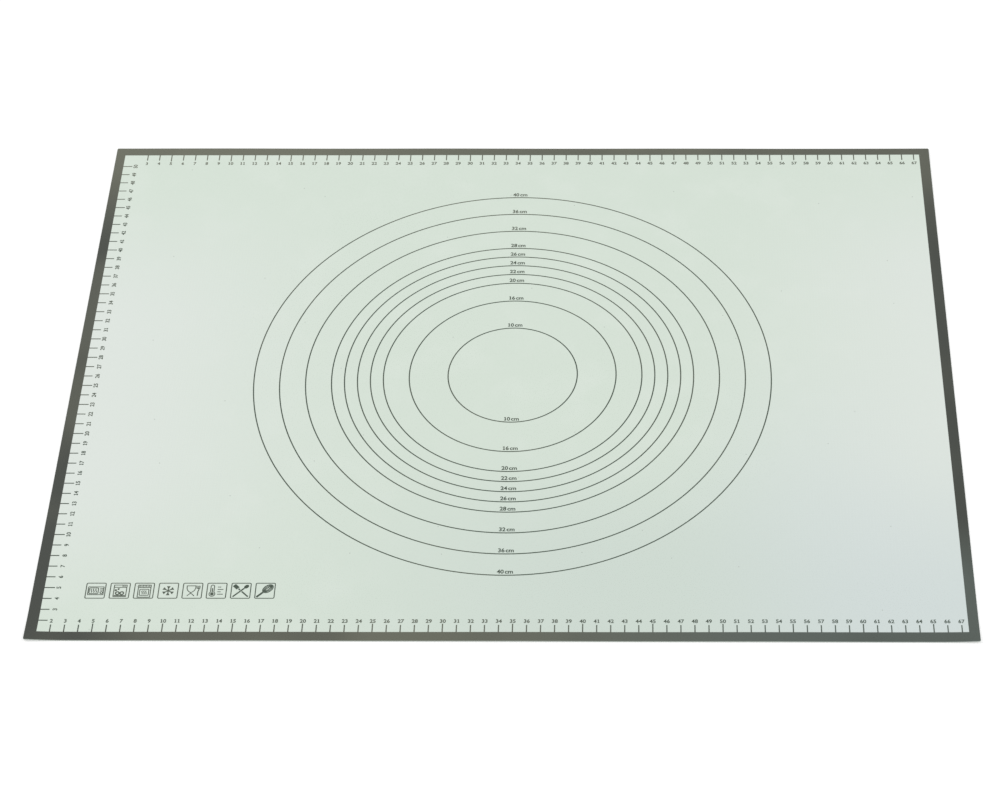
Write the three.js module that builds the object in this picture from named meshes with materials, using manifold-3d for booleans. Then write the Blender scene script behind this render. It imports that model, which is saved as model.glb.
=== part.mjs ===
// Silicone pastry mat: a glass-fibre cloth sealed between two layers of silicone rubber, with a border,
// rulers, rolling circles and symbol frames printed on the work surface.
// Millimetres, +Z up. The origin is under the middle of the mat, on the table that it lies on.
// The front edge faces -Y, and the side ruler runs along the left edge, at -X.
import * as THREE from 'three';
import { mergeVertices } from 'three/addons/utils/BufferGeometryUtils.js';
import Module from 'manifold-3d';

const wasm = await Module();
wasm.setup();

// Sheet
const MAT_WIDTH = 680;
const MAT_DEPTH = 520;
const MAT_CORNER_RADIUS = 1;
const RUBBER_UNDER_CLOTH = 0.3;
const CLOTH_THICKNESS = 0.15;
const RUBBER_OVER_CLOTH = 0.3;
const SEALED_EDGE = 3;

// Ink that every print is made of
const INK_THICKNESS = 0.05;

// Border and rulers. A ruler's zero lies a little outside the cut edge where the ruler starts.
const BORDER_WIDTH = 8;
const MARK_PITCH = 10;
const MARK_WIDTH = 0.85;
const SHORT_MARK = 6.4;
const LONG_MARK = 7.5;
const LONG_MARK_EVERY = 5;
const ACROSS_ZERO_OUTSIDE = 2.75;
const AWAY_ZERO_OUTSIDE = 1.75;
const FRONT_RULER = { firstMark: 2, zeroOutside: ACROSS_ZERO_OUTSIDE, extraLong: [] };
const BACK_RULER = { firstMark: 3, zeroOutside: ACROSS_ZERO_OUTSIDE, extraLong: [] };
const LEFT_RULER = { firstMark: 2, zeroOutside: AWAY_ZERO_OUTSIDE, extraLong: [23, 28] };

// Rolling circles: the smallest diameter, then how much each next one grows
const SMALLEST_CIRCLE = 100;
const CIRCLE_GROWTH = [60, 40, 20, 20, 20, 20, 40, 40, 40];
const CIRCLE_LINE = 0.9;

// Row of symbol frames, placed by its front left corner from the mat's cut edges
const FRAME_COUNT = 8;
const FRAME_SIDE = 14.6;
const FRAME_GAP = 2.9;
const FRAME_LINE = 0.7;
const FRAME_INNER_RADIUS = 0.5;
const FRAMES_FROM_LEFT = 37.9;
const FRAMES_FROM_FRONT = 38.2;

// Steps along a quarter of a rounded corner, and round a whole circle
const CORNER_STEPS = 4;
const CIRCLE_STEPS = 80;

// Heights of the faces where the layers meet
const CLOTH_BOTTOM = RUBBER_UNDER_CLOTH;
const CLOTH_TOP = CLOTH_BOTTOM + CLOTH_THICKNESS;
const WORK_SURFACE = CLOTH_TOP + RUBBER_OVER_CLOTH;
// How far a cutting tool runs past the face that it cuts
const CUT_OVERRUN = 1;

const paleSilicone = { color: 0xd6e0d6, roughness: 0.5, metalness: 0 };
const glassCloth = { color: 0xe9ece6, roughness: 0.8, metalness: 0 };
const darkInk = { color: 0x5d6159, roughness: 0.5, metalness: 0 };

// Rounded rectangle about a middle point, drawn as a path or as a shape
function roundedRectangle(path, middleX, middleY, width, depth, radius) {
  const right = width / 2 - radius;
  const back = depth / 2 - radius;
  const quarter = Math.PI / 2;
  path.absarc(middleX + right, middleY + back, radius, 0, quarter);
  path.absarc(middleX - right, middleY + back, radius, quarter, 2 * quarter);
  path.absarc(middleX - right, middleY - back, radius, 2 * quarter, 3 * quarter);
  path.absarc(middleX + right, middleY - back, radius, 3 * quarter, 4 * quarter);
  path.closePath();
  return path;
}

function matOutline(inset) {
  const shape = new THREE.Shape();
  const width = MAT_WIDTH - 2 * inset;
  const depth = MAT_DEPTH - 2 * inset;
  return roundedRectangle(shape, 0, 0, width, depth, MAT_CORNER_RADIUS);
}

// Flat sheet of a shape, from its lower face up. Each arc gets two steps for every curve segment.
function sheet(shape, bottom, thickness, curveSegments = CORNER_STEPS / 2) {
  const geometry = new THREE.ExtrudeGeometry(shape, { depth: thickness, bevelEnabled: false, curveSegments });
  return geometry.translate(0, 0, bottom);
}

function solidOf(geometry) {
  const plain = geometry.clone();
  plain.deleteAttribute('normal');
  plain.deleteAttribute('uv');
  const merged = mergeVertices(plain);
  const vertProperties = new Float32Array(merged.attributes.position.array);
  const triVerts = new Uint32Array(merged.index.array);
  return new wasm.Manifold(new wasm.Mesh({ numProp: 3, vertProperties, triVerts }));
}

function geometryOf(solid) {
  const mesh = solid.getMesh();
  const geometry = new THREE.BufferGeometry();
  geometry.setAttribute('position', new THREE.BufferAttribute(mesh.vertProperties, 3));
  geometry.setIndex(new THREE.BufferAttribute(mesh.triVerts, 1));
  return geometry;
}

// The lower layer is a shallow tray: its rim closes round the cloth's edge.
function lowerLayer() {
  const slab = solidOf(sheet(matOutline(0), 0, CLOTH_TOP));
  const recess = solidOf(sheet(matOutline(SEALED_EDGE), CLOTH_BOTTOM, CLOTH_THICKNESS + CUT_OVERRUN));
  return geometryOf(slab.subtract(recess));
}

function clothCore() {
  return sheet(matOutline(SEALED_EDGE), CLOTH_BOTTOM, CLOTH_THICKNESS);
}

function upperLayer() {
  return sheet(matOutline(0), CLOTH_TOP, RUBBER_OVER_CLOTH);
}

function inkFilm(shape, curveSegments) {
  return sheet(shape, WORK_SURFACE, INK_THICKNESS, curveSegments);
}

// Marks of one ruler: how far each lies from the cut edge where the ruler starts, and how long it is
function rulerMarks({ firstMark, zeroOutside, extraLong }, reach) {
  const marks = [];
  for (let number = firstMark; number * MARK_PITCH - zeroOutside <= reach; number++) {
    const isLong = number % LONG_MARK_EVERY === 0 || extraLong.includes(number);
    const length = isLong ? LONG_MARK : SHORT_MARK;
    marks.push({ at: number * MARK_PITCH - zeroOutside, length });
  }
  return marks;
}

// The same marks counted from the other end of the side
function fromOtherEnd(marks, sideLength) {
  return marks.map(({ at, length }) => ({ at: sideLength - at, length })).reverse();
}

// One side of the border's inner outline, from its corner on, with a tooth for each ruler mark
function sidePoints(corner, along, inward, marks) {
  const points = [corner];
  for (const { at, length } of marks) {
    const near = corner.clone().addScaledVector(along, at - BORDER_WIDTH - MARK_WIDTH / 2);
    const far = near.clone().addScaledVector(along, MARK_WIDTH);
    const nearTip = near.clone().addScaledVector(inward, length);
    const farTip = far.clone().addScaledVector(inward, length);
    points.push(near, nearTip, farTip, far);
  }
  return points;
}

// Border and rulers are one film, because every mark starts at the border's inner edge.
// The front and back rulers run up to the right border, and the left ruler up to the back ruler's marks.
function borderAndRulers() {
  const innerX = MAT_WIDTH / 2 - BORDER_WIDTH;
  const innerY = MAT_DEPTH / 2 - BORDER_WIDTH;
  const acrossReach = MAT_WIDTH - BORDER_WIDTH - MARK_WIDTH;
  const awayReach = MAT_DEPTH - BORDER_WIDTH - LONG_MARK - MARK_WIDTH;
  const right = new THREE.Vector2(1, 0);
  const back = new THREE.Vector2(0, 1);
  const left = new THREE.Vector2(-1, 0);
  const front = new THREE.Vector2(0, -1);
  const frontMarks = rulerMarks(FRONT_RULER, acrossReach);
  const backMarks = fromOtherEnd(rulerMarks(BACK_RULER, acrossReach), MAT_WIDTH);
  const leftMarks = fromOtherEnd(rulerMarks(LEFT_RULER, awayReach), MAT_DEPTH);
  const inner = new THREE.Path([
    ...sidePoints(new THREE.Vector2(-innerX, -innerY), right, back, frontMarks),
    ...sidePoints(new THREE.Vector2(innerX, -innerY), back, left, []),
    ...sidePoints(new THREE.Vector2(innerX, innerY), left, front, backMarks),
    ...sidePoints(new THREE.Vector2(-innerX, innerY), front, right, leftMarks),
  ]);
  const shape = matOutline(0);
  shape.holes.push(inner);
  return inkFilm(shape);
}

// Diameters of the circles that keep clear of the rulers
function circleDiameters() {
  const room = Math.min(MAT_WIDTH, MAT_DEPTH) - 2 * (BORDER_WIDTH + LONG_MARK);
  const diameters = [SMALLEST_CIRCLE];
  for (const growth of CIRCLE_GROWTH) {
    diameters.push(diameters.at(-1) + growth);
  }
  return diameters.filter((diameter) => diameter + CIRCLE_LINE < room);
}

function circleLine(diameter) {
  const shape = new THREE.Shape();
  shape.absarc(0, 0, (diameter + CIRCLE_LINE) / 2, 0, 2 * Math.PI);
  const inside = new THREE.Path();
  inside.absarc(0, 0, (diameter - CIRCLE_LINE) / 2, 0, 2 * Math.PI);
  shape.holes.push(inside);
  return inkFilm(shape, CIRCLE_STEPS / 2);
}

function symbolFrame(number) {
  const middleX = FRAMES_FROM_LEFT - MAT_WIDTH / 2 + FRAME_SIDE / 2 + number * (FRAME_SIDE + FRAME_GAP);
  const middleY = FRAMES_FROM_FRONT - MAT_DEPTH / 2 + FRAME_SIDE / 2;
  const innerSide = FRAME_SIDE - 2 * FRAME_LINE;
  const outerRadius = FRAME_INNER_RADIUS + FRAME_LINE;
  const shape = roundedRectangle(new THREE.Shape(), middleX, middleY, FRAME_SIDE, FRAME_SIDE, outerRadius);
  const inside = roundedRectangle(new THREE.Path(), middleX, middleY, innerSide, innerSide, FRAME_INNER_RADIUS);
  shape.holes.push(inside);
  return inkFilm(shape);
}

const mat = new THREE.Group();

function addPiece(name, geometry, finish) {
  const piece = new THREE.Mesh(geometry, new THREE.MeshStandardMaterial(finish));
  piece.name = name;
  mat.add(piece);
}

addPiece('lower_silicone_layer', lowerLayer(), paleSilicone);
addPiece('glass_fibre_cloth', clothCore(), glassCloth);
addPiece('upper_silicone_layer', upperLayer(), paleSilicone);
addPiece('border_and_rulers', borderAndRulers(), darkInk);
circleDiameters().forEach((diameter, index) => {
  addPiece(`circle_line_${index + 1}`, circleLine(diameter), darkInk);
});
for (let number = 0; number < FRAME_COUNT; number++) {
  addPiece(`symbol_frame_${number + 1}`, symbolFrame(number), darkInk);
}

export default mat;
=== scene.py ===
"""Looks of a printed silicone pastry mat that lies on a table.

Metres, +Z up. The origin is on the table under the middle of the mat. The front edge faces -Y, and the
side ruler runs along the left edge, at -X.
"""

import logging
import math
from abc import ABC, abstractmethod
from collections.abc import Callable, Sequence
from dataclasses import dataclass, field
from enum import Enum
from functools import cached_property
from typing import NamedTuple

import bmesh
import bpy
from bmesh.types import BMEdge, BMesh, BMVert
from bpy.types import ID, Material, Mesh, NodeSocket, NodeTree, Object
from mathutils import Matrix, Vector


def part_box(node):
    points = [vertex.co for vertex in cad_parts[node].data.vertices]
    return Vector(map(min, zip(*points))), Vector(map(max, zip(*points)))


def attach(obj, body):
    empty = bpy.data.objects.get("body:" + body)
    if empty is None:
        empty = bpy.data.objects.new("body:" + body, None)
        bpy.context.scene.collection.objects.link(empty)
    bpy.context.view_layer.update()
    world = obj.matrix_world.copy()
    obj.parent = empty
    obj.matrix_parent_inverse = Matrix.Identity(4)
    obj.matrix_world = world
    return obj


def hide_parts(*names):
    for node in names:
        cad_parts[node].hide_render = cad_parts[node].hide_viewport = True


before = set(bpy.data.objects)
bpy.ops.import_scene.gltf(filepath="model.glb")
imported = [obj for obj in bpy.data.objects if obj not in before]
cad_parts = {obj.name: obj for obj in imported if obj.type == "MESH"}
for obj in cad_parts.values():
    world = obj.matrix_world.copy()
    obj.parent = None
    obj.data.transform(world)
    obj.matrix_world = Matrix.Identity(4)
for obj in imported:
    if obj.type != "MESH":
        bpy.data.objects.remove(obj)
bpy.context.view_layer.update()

LOG = logging.getLogger("pastry_mat")
BODY = "root"
MM = 0.001

# CAD nodes. The circles and the frames have a number behind their names.
LOWER_LAYER = "lower_silicone_layer"
CLOTH_CORE = "glass_fibre_cloth"
UPPER_LAYER = "upper_silicone_layer"
BORDER_AND_RULERS = "border_and_rulers"
CIRCLE_LINE = "circle_line_"
SYMBOL_FRAME = "symbol_frame_"

# Half of the mat's width and depth, and the height of its work surface
HALF_WIDTH, HALF_DEPTH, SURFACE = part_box(UPPER_LAYER)[1]
CORNER_RADIUS = 1 * MM
BORDER = 8 * MM
CIRCLE_WIDTH = 0.9 * MM

# Faces that meet at more than this angle keep a sharp edge
SHARP_ANGLE = math.radians(35)
CORNER_STEPS = 4
# Profile of a bevel that is an arc
ROUND = 0.5
# A face lies flat if its normal's Z is over this, and stands upright if it is under it
FLAT = 0.5

# Sockets of Blender's Mix node when it mixes colours
MIX_FACTOR, MIX_FIRST, MIX_SECOND, MIX_RESULT = 0, 6, 7, 2
# Distance between the bands of a Wave texture at a scale of 1
WAVE_BAND = 2 * math.pi / 20

Point = tuple[float, float]
Range = tuple[float, float]


class Slot(Enum):
    """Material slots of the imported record."""

    PALE_SILICONE = "pale_silicone"
    GLASS_CLOTH = "glass_cloth"
    DARK_INK = "dark_ink"


class Side(Enum):
    """Sides of the mat that carry a ruler, each with the direction from its cut edge inwards."""

    FRONT = (0, 1)
    BACK = (0, -1)
    LEFT = (1, 0)


class Symbol(Enum):
    """Pictograms of the row, from left to right."""

    MICROWAVE = 1
    DISHWASHER = 2
    OVEN = 3
    SNOWFLAKE = 4
    GLASS_AND_FORK = 5
    THERMOMETER = 6
    SPOON_AND_SPATULA = 7
    WHISK = 8


# Mesh tools


def new_verts(made: dict[str, list]) -> list[BMVert]:
    """Vertices among the elements that a bmesh operator returned."""
    return [element for element in made["geom"] if isinstance(element, BMVert)]


def pull_edge(bm: BMesh, edge: BMEdge, step: Vector) -> BMEdge:
    """Draws a new face out of an edge.

    Args:
        bm: The edge's mesh.
        edge: The edge.
        step: How far the face reaches from it.

    Returns:
        The face's far edge.
    """
    tip = new_verts(bmesh.ops.extrude_edge_only(bm, edges=[edge]))
    bmesh.ops.translate(bm, vec=step, verts=tip)
    return bm.edges.get(tip)


def cut(bm: BMesh, point: Vector, normal: Vector, near: float = 0) -> None:
    """Cuts the faces that a plane crosses, and takes vertices that are near it to lie on it."""
    geometry = bm.verts[:] + bm.edges[:] + bm.faces[:]
    bmesh.ops.bisect_plane(bm, geom=geometry, dist=near, plane_co=point, plane_no=normal)


def add_panel(
    bm: BMesh, middle: Vector, width: float, depth: float, radius: float, cell: float = math.inf
) -> list[BMVert]:
    """Adds a flat panel with rounded corners.

    Args:
        bm: The mesh that gets it.
        middle: Its middle point.
        width: Its size along X.
        depth: Its size along Y.
        radius: The radius of its corners.
        cell: About how large the faces are that it is divided into.

    Returns:
        The vertices of its corners.
    """
    columns = max(1, round(width / cell))
    rows = max(1, round(depth / cell))
    # A grid is twice its size across, so this one is 1 by 1 before it is stretched
    place = Matrix.Translation(middle) @ Matrix.Diagonal((width, depth, 1, 1))
    made = bmesh.ops.create_grid(bm, x_segments=columns, y_segments=rows, size=0.5, matrix=place)
    corners = [vert for vert in made["verts"] if len(vert.link_edges) == 2]
    rounding = {"offset": radius, "segments": CORNER_STEPS, "profile": ROUND, "affect": "VERTICES"}
    return bmesh.ops.bevel(bm, geom=corners, material=-1, **rounding)["verts"]


def add_outline(
    bm: BMesh, middle: Vector, width: float, depth: float, radius: float, line: float
) -> None:
    """Adds the flat outline of a rounded rectangle.

    Args:
        bm: The mesh that gets it.
        middle: Its middle point.
        width: Its outer size along X.
        depth: Its outer size along Y.
        radius: The radius of its outer corners.
        line: The width of the line, which lies inside the outer size.
    """
    corners = add_panel(bm, middle, width, depth, radius)
    panel = corners[0].link_faces[0]
    bmesh.ops.inset_region(bm, faces=[panel], thickness=line, use_boundary=True, use_even_offset=True)
    bmesh.ops.delete(bm, geom=[panel], context="FACES_ONLY")


def thicken(bm: BMesh, thickness: float) -> None:
    """Makes flat faces a closed solid.

    Args:
        bm: The mesh of the flat faces.
        thickness: How far the solid reaches up from them.
    """
    made = bmesh.ops.extrude_face_region(bm, geom=bm.faces[:])
    bmesh.ops.translate(bm, vec=(0, 0, thickness), verts=new_verts(made))
    bmesh.ops.recalc_face_normals(bm, faces=bm.faces)


def finish_mesh(name: str, bm: BMesh) -> Mesh:
    """Turns a bmesh into a mesh.

    Args:
        name: The mesh's name.
        bm: Its faces, in place. They are used up.

    Returns:
        The mesh.
    """
    mesh = bpy.data.meshes.new(name)
    bm.to_mesh(mesh)
    bm.free()
    return mesh


def add_object(data: ID) -> Object:
    """Puts a mesh, a lamp or a camera into the scene.

    Args:
        data: What is put there.

    Returns:
        Its object, which has the same name.
    """
    thing = bpy.data.objects.new(data.name, data)
    bpy.context.scene.collection.objects.link(thing)
    return thing


def make_piece(name: str, bm: BMesh, material: Material, slot: Slot, *nodes: str) -> Object:
    """Makes a finished piece of the mat.

    Args:
        name: The piece's name.
        bm: Its mesh, in place. It is used up.
        material: Its material.
        slot: The record's slot of that material. It is not used.
        nodes: The CAD nodes that it stands for.

    Returns:
        The piece, which rides on the mat's body.
    """
    mesh = finish_mesh(name, bm)
    mesh.materials.append(material)
    mesh.shade_smooth()
    mesh.set_sharp_from_angle(angle=SHARP_ANGLE)
    piece = add_object(mesh)
    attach(piece, BODY)
    if nodes:
        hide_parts(*nodes)
    return piece


# Finishes


def srgb(code: str) -> tuple[float, float, float, float]:
    """Turns an sRGB hex colour to linear.

    Args:
        code: The colour, as #rrggbb.

    Returns:
        Linear red, green and blue, and an alpha of 1.
    """
    channels = [int(code[place:place + 2], 16) / 255 for place in (1, 3, 5)]
    red, green, blue = (c / 12.92 if c <= 0.04045 else ((c + 0.055) / 1.055) ** 2.4 for c in channels)
    return red, green, blue, 1.0


@dataclass
class Shading:
    """Adds the shader nodes of one material, or of the world."""

    tree: NodeTree

    def add(
        self, kind: str, inputs: dict | None = None, output: str | int = 0, **settings: object
    ) -> NodeSocket:
        """Adds a node with its settings and links.

        Args:
            kind: The node's type, without ShaderNode in front.
            inputs: What goes into its sockets, by name or index: a socket is linked, a value is set.
            output: The name or index of the socket that is asked for.
            settings: The node's own properties.

        Returns:
            The output socket of the new node.
        """
        node = self.tree.nodes.new("ShaderNode" + kind)
        for name, value in settings.items():
            setattr(node, name, value)
        for key, value in (inputs or {}).items():
            if isinstance(value, NodeSocket):
                self.tree.links.new(value, node.inputs[key])
            else:
                node.inputs[key].default_value = value
        return node.outputs[output]

    @cached_property
    def place(self) -> NodeSocket:
        """The Object coordinates."""
        return self.add("TexCoord", output="Object")

    @cached_property
    def axes(self) -> tuple[NodeSocket, NodeSocket]:
        """Place along the mat's width, and along its depth."""
        axes = self.add("SeparateXYZ", {"Vector": self.place}).node.outputs
        return axes["X"], axes["Y"]

    def share_in(self, *ranges: tuple[NodeSocket, Range]) -> NodeSocket:
        """How far values lie in soft-edged ranges, all of them at once.

        Args:
            ranges: Values, each with where its range starts and where it is full.

        Returns:
            The socket that gives the share, from 0 to 1.
        """
        total = None
        for value, (start, full) in ranges:
            rise = {"Value": value, "From Min": start, "From Max": full}
            share = self.add("MapRange", rise, interpolation_type="SMOOTHSTEP")
            if total is not None:
                share = self.add("Math", {0: total, 1: share}, operation="MULTIPLY")
            total = share
        return total

    def lay_tints(self, base: str, *tints: tuple[NodeSocket, str | NodeSocket]) -> NodeSocket:
        """Lays tints over a base colour, one after the other.

        Args:
            base: The hex code of the base.
            tints: Shares, each with the hex code or the socket of the tint that covers that much.

        Returns:
            The socket that gives the colour.
        """
        colour = srgb(base)
        for share, tint in tints:
            over = srgb(tint) if isinstance(tint, str) else tint
            layers = {MIX_FACTOR: share, MIX_FIRST: colour, MIX_SECOND: over}
            colour = self.add("Mix", layers, output=MIX_RESULT, data_type="RGBA")
        return colour

    def plain_weave(self, pitch: float) -> NodeSocket:
        """Height of a plain woven cloth, from 0 between its threads to 1 on their crowns.

        Args:
            pitch: The distance from thread to thread.

        Returns:
            The socket that gives the height.
        """
        wave = {"Vector": self.place, "Scale": WAVE_BAND / pitch}
        warp = self.add("TexWave", wave, output="Fac", bands_direction="X")
        weft = self.add("TexWave", wave, output="Fac", bands_direction="Y")
        over = self.add("TexChecker", {"Vector": self.place, "Scale": 1 / pitch}, output="Fac")
        return self.add("Mix", {"Factor": over, "A": warp, "B": weft}, data_type="FLOAT")


class Surface(NamedTuple):
    """What drives a shader: a colour, a share between two roughnesses and the height of a relief."""

    colour: NodeSocket
    between: NodeSocket
    height: NodeSocket


@dataclass(frozen=True, kw_only=True)
class Finish(ABC):
    """A material of the mat, on Object coordinates."""

    name: str
    ior: float
    roughness: tuple[float, float]
    relief_depth: float

    @abstractmethod
    def surface(self, shading: Shading) -> Surface:
        """Makes the nodes that drive the shader.

        Args:
            shading: What adds the nodes.

        Returns:
            Their sockets.
        """

    def material(self) -> Material:
        """Makes the material.

        Returns:
            The finished material.
        """
        material = bpy.data.materials.new(self.name)
        material.use_nodes = True
        shading = Shading(material.node_tree)
        surface = self.surface(shading)
        first, second = self.roughness
        between = {"Value": surface.between, "To Min": first, "To Max": second}
        links = {
            "Base Color": surface.colour,
            "Roughness": shading.add("MapRange", between),
            "Normal": shading.add("Bump", {"Height": surface.height, "Distance": self.relief_depth}),
        }
        shader = shading.tree.nodes["Principled BSDF"]
        shader.inputs["IOR"].default_value = self.ior
        for name, socket in links.items():
            shading.tree.links.new(socket, shader.inputs[name])
        return material


@dataclass(frozen=True, kw_only=True)
class WorkFaceSilicone(Finish):
    """Platinum-cured silicone rubber, knife-coated over the cloth: a pale mint satin, a little milky.

    Painted light lies over the tint: painted lighting makes it paler towards its sides, and painted shade
    makes it darker along the front and darker and cooler at the front right. The rubber also has a faint
    cloudiness, smudges that dull it, a few specks of dust and the weave just felt through it.
    """

    name: str = "knife_coated_silicone"
    tint: str = "#d7e3d7"
    # Painted light makes the sides paler; painted shade makes the front and the front right darker
    side_tint: str = "#e0e7e1"
    front_tint: str = "#d0dcd3"
    cool_tint: str = "#d3dddb"
    cloud_tint: str = "#dae5da"
    speck_tint: str = "#aeb6ae"
    ior: float = 1.41
    roughness: tuple[float, float] = (0.44, 0.53)
    smudge_size: float = 55 * MM
    smudge_detail: float = 4.0
    smudge_range: Range = (0.3, 0.7)
    cloud_size: float = 38 * MM
    cloud_detail: float = 3.0
    cloud_range: Range = (0.45, 0.75)
    # Where painted lighting makes the tint paler: on both sides of a middle line, in a belt that tilts a
    # little
    side_middle: float = 0.02
    side_range: Range = (0.1, 0.36)
    belt_tilt: float = -0.065
    belt_range: Range = (0.26, 0.07)
    # Where painted shade makes it darker, along the front, and darker and cooler, at the front right
    front_range_x: Range = (-0.2, 0.08)
    front_range_y: Range = (-0.05, -0.2)
    cool_range_x: Range = (0.1, 0.29)
    cool_range_y: Range = (0.06, -0.16)
    speck_spacing: float = 82 * MM
    speck_radius: float = 0.55 * MM
    # Share of a speck's radius that is as dark as its middle
    speck_core: float = 0.4
    # The cloth has a thread every 0.6 mm, drawn four times as coarse so that it shows
    weave_pitch: float = 2.4 * MM
    relief_depth: float = 0.012 * MM

    def surface(self, shading: Shading) -> Surface:
        """Makes the rubber's nodes.

        Args:
            shading: What adds the nodes.

        Returns:
            Their sockets.
        """
        smudges = {"Vector": shading.place, "Scale": 1 / self.smudge_size, "Detail": self.smudge_detail}
        return Surface(
            colour=self.colour(shading),
            between=shading.share_in((shading.add("TexNoise", smudges), self.smudge_range)),
            height=shading.plain_weave(self.weave_pitch),
        )

    def colour(self, shading: Shading) -> NodeSocket:
        """Colour of the rubber with its clouds and its specks, under painted light and painted shade.

        Args:
            shading: What adds the nodes.

        Returns:
            The socket that gives the colour.
        """
        x, y = shading.axes
        sideways = shading.add("Math", {0: x, 1: self.side_middle}, operation="SUBTRACT")
        aside = shading.add("Math", {0: sideways}, operation="ABSOLUTE")
        endways = shading.add("Math", {0: x, 1: self.belt_tilt, 2: y}, operation="MULTIPLY_ADD")
        away = shading.add("Math", {0: endways}, operation="ABSOLUTE")
        clouds = {"Vector": shading.place, "Scale": 1 / self.cloud_size, "Detail": self.cloud_detail}
        cloud = shading.add("TexNoise", clouds)
        cells = {"Vector": shading.place, "Scale": 1 / self.speck_spacing}
        speck = shading.add("TexVoronoi", cells, output="Distance", voronoi_dimensions="2D")
        speck_edge = self.speck_radius / self.speck_spacing
        # Painted shade at the front and the front right, and painted light at the sides, lie over the
        # clouds
        tints = (
            (self.cloud_tint, (cloud, self.cloud_range)),
            (self.front_tint, (x, self.front_range_x), (y, self.front_range_y)),
            (self.cool_tint, (x, self.cool_range_x), (y, self.cool_range_y)),
            (self.side_tint, (aside, self.side_range), (away, self.belt_range)),
            (self.speck_tint, (speck, (speck_edge, self.speck_core * speck_edge))),
        )
        layers = [(shading.share_in(*ranges), tint) for tint, *ranges in tints]
        return shading.lay_tints(self.tint, *layers)


@dataclass(frozen=True, kw_only=True)
class UndersideSilicone(Finish):
    """The same rubber on the side that grips the table: duller, with the weave plainly in it. Its crowns
    are lighter than its hollows, partly in the threads' own colour and partly as painted light on the
    relief.

    The sheet is a little see-through, so the border and the circles on its other face show as ghosts.
    """

    circle_radii: tuple[float, ...]
    name: str = "woven_back_silicone"
    tint: str = "#c9d3c9"
    ghost_tint: str = "#aeb7ad"
    # Colour of the weave's crowns: the threads' own colour, and painted light on the relief
    thread_tint: str = "#e2eae1"
    ior: float = 1.41
    roughness: tuple[float, float] = (0.66, 0.54)
    # How soft the ghost of the border is, and how much of a circle's line shows through
    ghost_blur: float = 1 * MM
    circle_share: float = 0.5
    # A thread every 0.6 mm, drawn six times as coarse so that it shows
    weave_pitch: float = 3.6 * MM
    relief_depth: float = 0.1 * MM

    def surface(self, shading: Shading) -> Surface:
        """Makes the rubber's nodes.

        Args:
            shading: What adds the nodes.

        Returns:
            Their sockets.
        """
        thread = shading.plain_weave(self.weave_pitch)
        # The crowns of the weave are lighter partly by painted light on the relief
        tints = ((thread, self.thread_tint), (self.ghost(shading), self.ghost_tint))
        return Surface(shading.lay_tints(self.tint, *tints), between=thread, height=thread)

    def ghost(self, shading: Shading) -> NodeSocket:
        """Share of the print that shows through, full at the border and less at the circles.

        Args:
            shading: What adds the nodes.

        Returns:
            The socket that gives the share.
        """
        x, y = shading.axes
        shares = []
        for axis, half in ((x, HALF_WIDTH), (y, HALF_DEPTH)):
            away = shading.add("Math", {0: axis}, operation="ABSOLUTE")
            inner = half - BORDER
            shares.append(shading.share_in((away, (inner - self.ghost_blur, inner + self.ghost_blur))))
        plan = shading.add("CombineXYZ", {"X": x, "Y": y})
        radius = shading.add("VectorMath", {0: plan}, output="Value", operation="LENGTH")
        for circle in self.circle_radii:
            line = shading.add("Math", {0: radius, 1: circle, 2: CIRCLE_WIDTH}, operation="COMPARE")
            shares.append(shading.add("Math", {0: line, 1: self.circle_share}, operation="MULTIPLY"))
        total = shares[0]
        for share in shares[1:]:
            total = shading.add("Math", {0: total, 1: share}, operation="MAXIMUM")
        return total


@dataclass(frozen=True, kw_only=True)
class GlassCloth(Finish):
    """Plain woven glass fibre, bleached: off-white glossy threads, with gaps darkened partly by painted
    shade.
    """

    name: str = "woven_glass_fibre"
    # The gaps' tint is partly their own colour and partly painted shade in the weave's hollows
    thread_tint: str = "#eef0ea"
    gap_tint: str = "#b9bdb2"
    thread_range: Range = (0.05, 0.5)
    ior: float = 1.52
    roughness: tuple[float, float] = (0.6, 0.35)
    # A thread every 0.6 mm, drawn three times as coarse so that it shows
    weave_pitch: float = 1.8 * MM
    relief_depth: float = 0.08 * MM

    def surface(self, shading: Shading) -> Surface:
        """Makes the cloth's nodes.

        Args:
            shading: What adds the nodes.

        Returns:
            Their sockets.
        """
        height = shading.plain_weave(self.weave_pitch)
        thread = shading.share_in((height, self.thread_range))
        colour = shading.lay_tints(self.gap_tint, (thread, self.thread_tint))
        return Surface(colour, between=height, height=height)


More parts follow.
